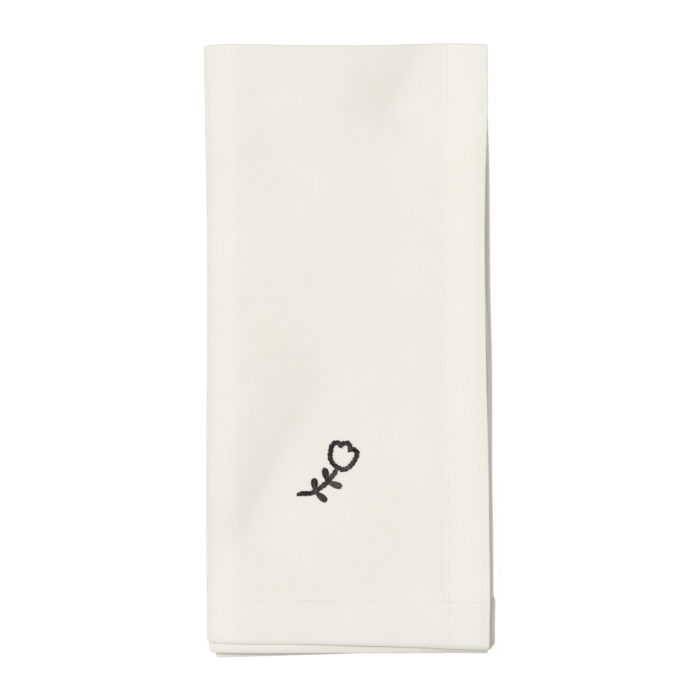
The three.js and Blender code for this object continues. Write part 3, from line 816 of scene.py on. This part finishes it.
# =============================================================================
# Materials
# =============================================================================
class Nodes:
    """Short calls to lay out a node tree."""

    def __init__(self, name):
        self.material = bpy.data.materials.new(name)
        self.material.use_nodes = True
        self.tree = self.material.node_tree
        self.shader = self.tree.nodes["Principled BSDF"]

    def add(self, kind, inputs=(), **settings):
        node = self.tree.nodes.new(kind)
        for key, value in settings.items():
            setattr(node, key, value)
        for key, value in dict(inputs).items():
            self.put(node.inputs[key], value)
        return node

    def put(self, socket, value):
        if isinstance(value, bpy.types.NodeSocket):
            self.tree.links.new(value, socket)
        else:
            socket.default_value = value

    def math(self, operation, a, b=0.0, c=0.0):
        return self.add("ShaderNodeMath", {0: a, 1: b, 2: c}, operation=operation).outputs[0]

    def mix(self, factor, a, b):
        node = self.add("ShaderNodeMix", data_type="RGBA")
        self.put(node.inputs[0], factor)
        self.put(node.inputs[6], a)
        self.put(node.inputs[7], b)
        return node.outputs[2]

    def noise(self, vector, scale, detail=2.0, rough=0.5, dims="3D"):
        return self.add(
            "ShaderNodeTexNoise", {"Vector": vector, "Scale": scale, "Detail": detail, "Roughness": rough}, noise_dimensions=dims
        ).outputs["Fac"]

    def ramp(self, value, low, high, a=0.0, b=1.0):
        return self.add(
            "ShaderNodeMapRange", {0: value, 1: low, 2: high, 3: a, 4: b}, clamp=True, interpolation_type="SMOOTHSTEP"
        ).outputs[0]

    def combine(self, x, y, z=0.0):
        return self.add("ShaderNodeCombineXYZ", {0: x, 1: y, 2: z}).outputs[0]


def linear(r, g, b):
    def one(v):
        v /= 255
        return v / 12.92 if v <= 0.04045 else ((v + 0.055) / 1.055) ** 2.4

    return (one(r), one(g), one(b), 1.0)


def cloth_material():
    """Plain weave in off-white, with thick and thin yarns."""
    m = Nodes("off_white_linen")
    flat = m.add("ShaderNodeUVMap", uv_map="Flat").outputs["UV"]
    parts = m.add("ShaderNodeSeparateXYZ", {0: flat})
    yarns = 1 / 0.00052  # a metre
    pu, pv = m.math("MULTIPLY", parts.outputs[0], yarns), m.math("MULTIPLY", parts.outputs[1], yarns)
    # the yarns wander a little
    wander_u = m.noise(m.combine(m.math("MULTIPLY", pv, 0.03), m.math("MULTIPLY", pu, 0.2)), 1.0, dims="2D")
    wander_v = m.noise(m.combine(m.math("MULTIPLY", pu, 0.03), m.math("MULTIPLY", pv, 0.2), 5.0), 1.0, dims="3D")
    pu = m.math("MULTIPLY_ADD", wander_u, 0.7, pu)
    pv = m.math("MULTIPLY_ADD", wander_v, 0.7, pv)
    iu, iv = m.math("FLOOR", pu), m.math("FLOOR", pv)
    fu = m.math("SUBTRACT", m.math("FRACT", pu), 0.5)
    fv = m.math("SUBTRACT", m.math("FRACT", pv), 0.5)
    over = m.math("MODULO", m.math("ABSOLUTE", m.math("ADD", iu, iv)), 2.0)
    bulge_u = m.math("COSINE", m.math("MULTIPLY", fu, math.pi))
    bulge_v = m.math("COSINE", m.math("MULTIPLY", fv, math.pi))
    # where the warp is over, its round side shows across and its crimp along
    warp = m.math("MULTIPLY", m.math("POWER", bulge_u, 0.75), m.math("POWER", bulge_v, 0.35))
    weft = m.math("MULTIPLY", m.math("POWER", bulge_v, 0.75), m.math("POWER", bulge_u, 0.35))
    weave = m.math("ADD", m.math("MULTIPLY", warp, over), m.math("MULTIPLY", weft, m.math("SUBTRACT", 1.0, over)))
    # each yarn's own thickness and shade along its length
    slub_u = m.noise(m.combine(m.math("MULTIPLY", iu, 3.7), m.math("MULTIPLY", pv, 0.035)), 1.0, 1.0, dims="2D")
    slub_v = m.noise(m.combine(m.math("MULTIPLY", pu, 0.035), m.math("MULTIPLY", iv, 3.7)), 1.0, 1.0, dims="2D")
    slub = m.math("ADD", m.math("MULTIPLY", slub_u, over), m.math("MULTIPLY", slub_v, m.math("SUBTRACT", 1.0, over)))
    thick = m.ramp(slub, 0.62, 0.80)
    mottle = m.noise(flat, 28.0, 3.0, 0.55)
    shade = m.math("ADD", m.math("MULTIPLY", slub, 0.4), m.math("MULTIPLY", mottle, 0.6))
    base = m.mix(m.ramp(shade, 0.30, 0.70), linear(*CLOTH_DARK), linear(*CLOTH_LIGHT))
    # painted shade: the gaps between the yarns are darkened
    gap_shade = m.ramp(weave, 0.15, 0.75)
    base = m.mix(gap_shade, m.mix(0.80, linear(*GAP_SHADE_COLOUR), base), base)
    # three plies let less light through than one
    layers = m.add("ShaderNodeSeparateXYZ", {0: m.add("ShaderNodeUVMap", uv_map="Plies").outputs["UV"]})
    base = m.mix(layers.outputs[0], m.mix(PLAIN_LOSS, base, (0, 0, 0, 1)), base)
    # painted shade: a pressed fold and the rim of an end hem are darker, as where the cloth turns away from the light
    base = m.mix(m.math("MULTIPLY", layers.outputs[1], FOLD_SHADE_SHARE), base, linear(*FOLD_SHADE_COLOUR))
    m.put(m.shader.inputs["Base Color"], base)
    height = m.math("ADD", m.math("MULTIPLY", weave, 0.75), m.math("MULTIPLY", thick, 0.5))
    creases = m.noise(flat, 160.0, 3.0, 0.6)
    bump = m.add("ShaderNodeBump", {"Strength": 0.16, "Distance": 0.00008, "Height": height})
    soft = m.add("ShaderNodeBump", {"Strength": 0.16, "Distance": 0.0005, "Height": creases, "Normal": bump.outputs[0]})
    m.put(m.shader.inputs["Normal"], soft.outputs[0])
    m.shader.inputs["Roughness"].default_value = 0.88
    m.shader.inputs["Specular IOR Level"].default_value = 0.25
    m.shader.inputs["Sheen Weight"].default_value = 0.12
    m.shader.inputs["Sheen Roughness"].default_value = 0.5
    return m.material


def thread_material(name, low, high, rough, sheen, specular=0.5):
    """Twisted thread: fine fibres, a tone for each strand and a soft shine."""
    m = Nodes(name)
    place = m.add("ShaderNodeTexCoord").outputs["Object"]
    fibres = m.noise(place, 2600.0, 3.0, 0.6)
    slow = m.noise(place, 900.0, 2.0, 0.6)
    tone = m.add("ShaderNodeSeparateXYZ", {0: m.add("ShaderNodeUVMap", uv_map="Tone").outputs["UV"]}).outputs[0]
    shade = m.math("ADD", m.math("MULTIPLY", fibres, 0.20), m.math("MULTIPLY", slow, 0.45))
    shade = m.math("MULTIPLY_ADD", tone, 0.35, shade)
    m.put(m.shader.inputs["Base Color"], m.mix(m.ramp(shade, 0.30, 0.76), linear(*low), linear(*high)))
    bump = m.add("ShaderNodeBump", {"Strength": 0.5, "Distance": 0.00005, "Height": fibres})
    m.put(m.shader.inputs["Normal"], bump.outputs[0])
    m.shader.inputs["Roughness"].default_value = rough
    m.shader.inputs["Specular IOR Level"].default_value = specular
    m.shader.inputs["Sheen Weight"].default_value = sheen
    m.shader.inputs["Sheen Roughness"].default_value = 0.4
    return m.material


CLOTH_LIGHT = (226, 223, 216)
CLOTH_DARK = (223, 220, 212)
PLAIN_LOSS = 0.024
# how strongly the painted shade darkens the folds and rims, and the colour it darkens towards
FOLD_SHADE_SHARE = 0.5
FOLD_SHADE_COLOUR = (196, 192, 183)
# the colour of the painted shade in the gaps between the yarns
GAP_SHADE_COLOUR = (190, 184, 172)

cloth.data.materials.append(cloth_material())
hem_stitches.data.materials.append(thread_material("off_white_thread", (214, 211, 203), (228, 225, 218), 0.6, 0.1))
embroidery.data.materials.append(thread_material("charcoal_thread", (9, 8, 7), (80, 77, 71), 0.42, 0.06, 0.16))

for piece, slot in ((cloth, "cloth"), (hem_stitches, "cloth"), (embroidery, "thread")):
    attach(piece, "root")
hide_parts("napkin")

# =============================================================================
# Floor, light and camera
# =============================================================================
bpy.ops.mesh.primitive_plane_add(size=6, location=(0, 0, -0.0002))
floor = bpy.context.object
floor.name = "floor"
paper = Nodes("floor_paper")
paper.shader.inputs["Base Color"].default_value = linear(124, 124, 123)
paper.shader.inputs["Roughness"].default_value = 0.95
paper.shader.inputs["Emission Color"].default_value = (1, 1, 1, 1)
paper.shader.inputs["Emission Strength"].default_value = 0.86
paper.shader.inputs["Specular IOR Level"].default_value = 0.1
floor.data.materials.append(paper.material)


def area_light(name, place, size, power, colour=(1, 1, 1)):
    data = bpy.data.lights.new(name, "AREA")
    data.shape = "DISK"
    data.size = size
    data.energy = power
    data.color = colour
    obj = bpy.data.objects.new(name, data)
    bpy.context.scene.collection.objects.link(obj)
    obj.location = place
    obj.rotation_euler = (-Vector(place)).to_track_quat("-Z", "Y").to_euler()
    return obj


ROOM_GLOW, WALL_GLOW = 0.40, 0.95
area_light("key", (-3.15, 1.0, 4.98), 1.8, 262, (0.99, 1.0, 1.02))
area_light("overhead", (0.0, 0.0, 4.5), 3.6, 25)
area_light("fill", (3.4, -0.6, 2.4), 2.0, 22)
world = bpy.data.worlds.new("soft_room")
world.use_nodes = True
sky = world.node_tree
background = sky.nodes["Background"]
background.inputs[0].default_value = (1.0, 0.994, 0.981, 1)
# brighter low down, like a pale wall all round
height = sky.nodes.new("ShaderNodeSeparateXYZ")
wall = sky.nodes.new("ShaderNodeMapRange")
wall.interpolation_type = "SMOOTHSTEP"
for number, value in enumerate((0.05, 0.18, WALL_GLOW, ROOM_GLOW)):
    wall.inputs[1 + number].default_value = value
sky.links.new(sky.nodes.new("ShaderNodeTexCoord").outputs["Generated"], height.inputs[0])
sky.links.new(height.outputs[2], wall.inputs[0])
sky.links.new(wall.outputs[0], background.inputs[1])
bpy.context.scene.world = world

scene = bpy.context.scene
scene.view_settings.view_transform = "Standard"
scene.view_settings.look = "None"

FRAME_WIDTH = 0.2878  # how much the camera takes in across, at the height of the top leaf
camera_data = bpy.data.cameras.new("camera")
camera_data.sensor_width = 36
camera_data.lens = 220
camera = bpy.data.objects.new("camera", camera_data)
scene.collection.objects.link(camera)
distance = FRAME_WIDTH * camera_data.lens / camera_data.sensor_width
camera.location = (0.00014 + SHIFT[0] / 1000, -0.00008 + SHIFT[1] / 1000, 0.0108 + distance)
camera.rotation_euler = (0, 0, 0)
camera_data.clip_start, camera_data.clip_end = 0.05, 20
scene.camera = camera
